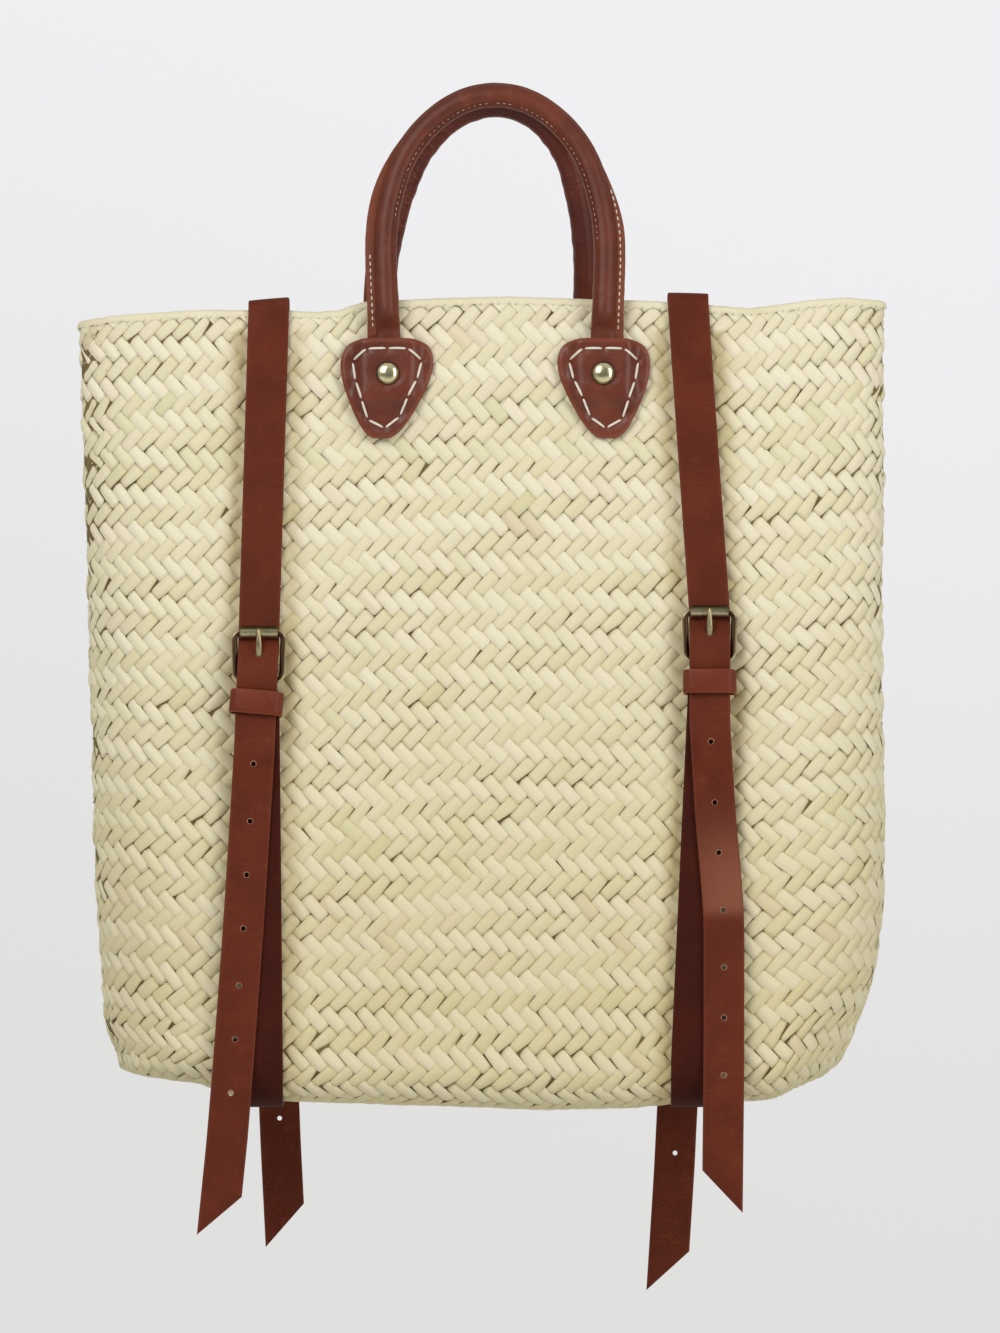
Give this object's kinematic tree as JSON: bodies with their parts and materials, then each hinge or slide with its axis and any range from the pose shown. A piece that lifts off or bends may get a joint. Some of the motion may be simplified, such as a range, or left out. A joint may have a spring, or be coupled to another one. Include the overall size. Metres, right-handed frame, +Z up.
{
  "type": "pack basket",
  "caption": "Upright woven palm-leaf basket with rolled leather top handles and buckled leather strap loops that pass over its mouth and under its base.",
  "frame": {"origin": "where a hook or hand carries the handles, between the two handles at the underside of their arches", "axes": "+Z up, +X to the right seen from the front, -Y the front face"},
  "size_m": [0.403, 0.1427, 0.6069],
  "materials": {
    "palm_leaf": "matte",
    "leather": "satin",
    "rope": "matte",
    "antique_brass": "satin",
    "bright_brass": "polished"
  },
  "bodies": {
    "basket": {"basket_body": "palm_leaf", "front_left_handle_tongue": "leather", "front_left_tab": "leather", "front_left_rivet_cap": "bright_brass", "front_left_rivet_post": "bright_brass", "rear_left_handle_tongue": "leather", "rear_left_tab": "leather", "rear_left_rivet_cap": "bright_brass", "rear_left_rivet_post": "bright_brass", "front_right_handle_tongue": "leather", "front_right_tab": "leather", "front_right_rivet_cap": "bright_brass", "front_right_rivet_post": "bright_brass", "rear_right_handle_tongue": "leather", "rear_right_tab": "leather", "rear_right_rivet_cap": "bright_brass", "rear_right_rivet_post": "bright_brass", "left_over_strap": "leather", "left_base_strap": "leather", "right_over_strap": "leather", "right_base_strap": "leather", "front_left_buckle_frame": "antique_brass", "rear_left_buckle_frame": "antique_brass", "front_right_buckle_frame": "antique_brass", "rear_right_buckle_frame": "antique_brass"},
    "handle_front": {"handle_front_sleeve": "leather", "handle_front_core": "rope"},
    "handle_rear": {"handle_rear_sleeve": "leather", "handle_rear_core": "rope"},
    "front_left_tail": {"front_left_strap_tail": "leather"},
    "front_left_prong": {"front_left_buckle_prong": "antique_brass"},
    "front_left_roller": {"front_left_buckle_roller": "antique_brass"},
    "front_left_keeper": {"front_left_keeper": "leather"},
    "rear_left_tail": {"rear_left_strap_tail": "leather"},
    "rear_left_prong": {"rear_left_buckle_prong": "antique_brass"},
    "rear_left_roller": {"rear_left_buckle_roller": "antique_brass"},
    "rear_left_keeper": {"rear_left_keeper": "leather"},
    "front_right_tail": {"front_right_strap_tail": "leather"},
    "front_right_prong": {"front_right_buckle_prong": "antique_brass"},
    "front_right_roller": {"front_right_buckle_roller": "antique_brass"},
    "front_right_keeper": {"front_right_keeper": "leather"},
    "rear_right_tail": {"rear_right_strap_tail": "leather"},
    "rear_right_prong": {"rear_right_buckle_prong": "antique_brass"},
    "rear_right_roller": {"rear_right_buckle_roller": "antique_brass"},
    "rear_right_keeper": {"rear_right_keeper": "leather"}
  },
  "joints": [
    {"name": "handle_front_fold", "type": "hinge", "parent": "basket", "child": "handle_front", "pos_m": [0.00475, -0.02364, -0.109], "axis": [1, 0, 0], "range_deg": [0, 90]},
    {"name": "handle_rear_fold", "type": "hinge", "parent": "basket", "child": "handle_rear", "pos_m": [-0.0011, 0.02364, -0.109], "axis": [-1, 0, 0], "range_deg": [0, 90]},
    {"name": "front_left_tail_swing", "type": "hinge", "parent": "basket", "child": "front_left_tail", "pos_m": [-0.1135, -0.05189, -0.31428], "axis": [-1, 0, 0], "range_deg": [0, 100]},
    {"name": "rear_left_tail_swing", "type": "hinge", "parent": "basket", "child": "rear_left_tail", "pos_m": [-0.1105, 0.05189, -0.31428], "axis": [1, 0, 0], "range_deg": [0, 100]},
    {"name": "front_right_tail_swing", "type": "hinge", "parent": "basket", "child": "front_right_tail", "pos_m": [0.1118, -0.05072, -0.30388], "axis": [-1, 0, 0], "range_deg": [0, 100]},
    {"name": "rear_right_tail_swing", "type": "hinge", "parent": "basket", "child": "rear_right_tail", "pos_m": [0.1045, 0.05072, -0.30388], "axis": [1, 0, 0], "range_deg": [0, 100]},
    {"name": "front_left_prong_lift", "type": "hinge", "parent": "basket", "child": "front_left_prong", "pos_m": [-0.1135, -0.04454, -0.28291], "axis": [1, 0, 0], "range_deg": [0, 5]},
    {"name": "rear_left_prong_lift", "type": "hinge", "parent": "basket", "child": "rear_left_prong", "pos_m": [-0.1105, 0.04454, -0.28291], "axis": [-1, 0, 0], "range_deg": [0, 5]},
    {"name": "front_right_prong_lift", "type": "hinge", "parent": "basket", "child": "front_right_prong", "pos_m": [0.1118, -0.04337, -0.27251], "axis": [1, 0, 0], "range_deg": [0, 5]},
    {"name": "rear_right_prong_lift", "type": "hinge", "parent": "basket", "child": "rear_right_prong", "pos_m": [0.1045, 0.04337, -0.27251], "axis": [-1, 0, 0], "range_deg": [0, 5]},
    {"name": "front_left_roller_turn", "type": "hinge", "parent": "basket", "child": "front_left_roller", "pos_m": [-0.1135, -0.0418, -0.25856], "axis": [1, 0, 0], "continuous": true},
    {"name": "rear_left_roller_turn", "type": "hinge", "parent": "basket", "child": "rear_left_roller", "pos_m": [-0.1105, 0.0418, -0.25856], "axis": [1, 0, 0], "continuous": true},
    {"name": "front_right_roller_turn", "type": "hinge", "parent": "basket", "child": "front_right_roller", "pos_m": [0.1118, -0.04063, -0.24816], "axis": [1, 0, 0], "continuous": true},
    {"name": "rear_right_roller_turn", "type": "hinge", "parent": "basket", "child": "rear_right_roller", "pos_m": [0.1045, 0.04063, -0.24816], "axis": [1, 0, 0], "continuous": true},
    {"name": "front_left_keeper_slide", "type": "slide", "parent": "basket", "child": "front_left_keeper", "axis": [0, -0.1118, -0.9937], "range_m": [0, 0.012]},
    {"name": "rear_left_keeper_slide", "type": "slide", "parent": "basket", "child": "rear_left_keeper", "axis": [0, 0.1118, -0.9937], "range_m": [0, 0.012]},
    {"name": "front_right_keeper_slide", "type": "slide", "parent": "basket", "child": "front_right_keeper", "axis": [0, -0.1118, -0.9937], "range_m": [0, 0.012]},
    {"name": "rear_right_keeper_slide", "type": "slide", "parent": "basket", "child": "rear_right_keeper", "axis": [0, 0.1118, -0.9937], "range_m": [0, 0.012]}
  ]
}
